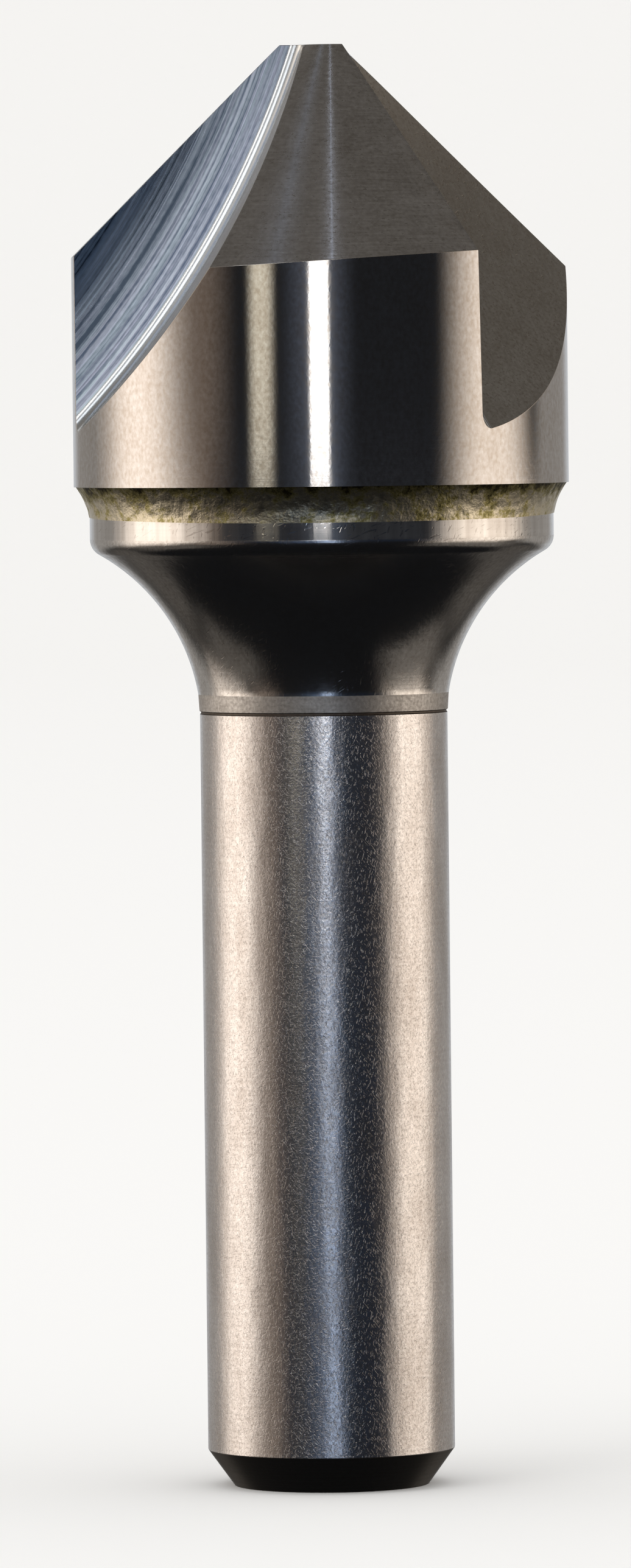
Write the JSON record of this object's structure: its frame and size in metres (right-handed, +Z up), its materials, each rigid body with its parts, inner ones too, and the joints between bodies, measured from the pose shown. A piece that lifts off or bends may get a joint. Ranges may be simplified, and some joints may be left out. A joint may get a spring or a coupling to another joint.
{
  "type": "countersink bit",
  "caption": "Countersink bit with a straight round shank, a hollow-flared collar and a brazed fluted carbide head ground to a 90 degree point; cuts conical seats for screw heads.",
  "frame": {"origin": "centre of the shank's end face, which is also the centre of the bottom of the bounding box", "axes": "+Z runs up the tool's axis from the shank end to the tip; looking along +Y shows one cone land in front, with a flute's flat face on the left and a flute's floor on the right"},
  "size_m": [0.0254, 0.0254, 0.074],
  "materials": {
    "ground_carbide": "ground and polished cemented carbide",
    "braze": "rough silver solder, a little tarnished",
    "ground_steel": "turned and ground steel, satin"
  },
  "bodies": {
    "root": {"carbide_head": "ground_carbide", "braze_joint": "braze", "shank": "ground_steel"}
  },
  "joints": []
}
